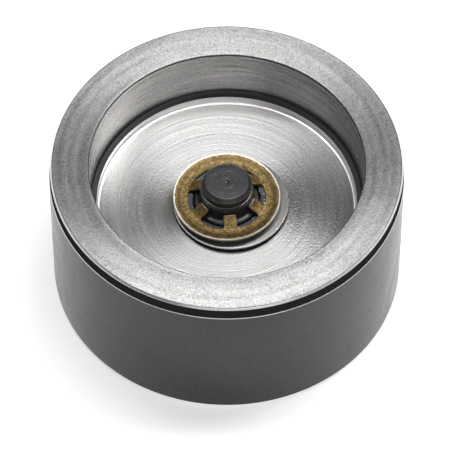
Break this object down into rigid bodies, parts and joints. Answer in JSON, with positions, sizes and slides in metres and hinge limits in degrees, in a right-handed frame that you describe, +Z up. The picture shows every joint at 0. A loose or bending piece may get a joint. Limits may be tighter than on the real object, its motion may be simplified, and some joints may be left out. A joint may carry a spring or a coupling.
{
  "type": "watch case press turning base",
  "caption": "Heavy steel cup with a ground rim and stepped bore that turns on a low foot, held by a star-lock washer on a black spindle.",
  "frame": {"origin": "on the bench, where the turning axis meets the underside of the rubber pad", "axes": "+Z up along the turning axis, out of the cup's mouth; +X to the right and +Y away from the worker; the cup is round, so X and Y only place the washers' tabs and the screws"},
  "size_m": [0.0524, 0.0524, 0.0255],
  "materials": {
    "machined_steel": "face-turned and ground bright on rim, bore and floor, satin black oxide on the side",
    "bronze": "machined",
    "hardened_steel": "ground",
    "cage_brass": "machined",
    "ball_steel": "polished",
    "foot_steel": "turned",
    "pad_rubber": "matt",
    "black_oxide_steel": "turned and black oxide coated",
    "screw_steel": "black oxide",
    "washer_steel": "bright",
    "blued_steel": "blued spring steel",
    "yellow_zinc": "yellow zinc plated, mottled"
  },
  "bodies": {
    "foot": {"foot_plate": "foot_steel", "foot_pad": "pad_rubber", "lower_race": "hardened_steel", "spindle": "black_oxide_steel", "spindle_screws": "screw_steel", "star_lock_washer": "yellow_zinc"},
    "cup": {"body": "machined_steel", "bush": "bronze", "upper_race": "hardened_steel", "flat_washer": "washer_steel", "spring_washer": "blued_steel"},
    "cage": {"ball_cage": "cage_brass", "balls": "ball_steel"}
  },
  "joints": [
    {"name": "cup_turn", "type": "hinge", "parent": "foot", "child": "cup", "pos_m": [0, 0, 0.0124], "axis": [0, 0, 1], "continuous": true},
    {"name": "cage_turn", "type": "hinge", "parent": "foot", "child": "cage", "pos_m": [0, 0, 0.00712], "axis": [0, 0, 1], "continuous": true}
  ],
  "couplings": [
    {"joint": "cage_turn", "follows": "cup_turn", "ratio": 0.5}
  ]
}
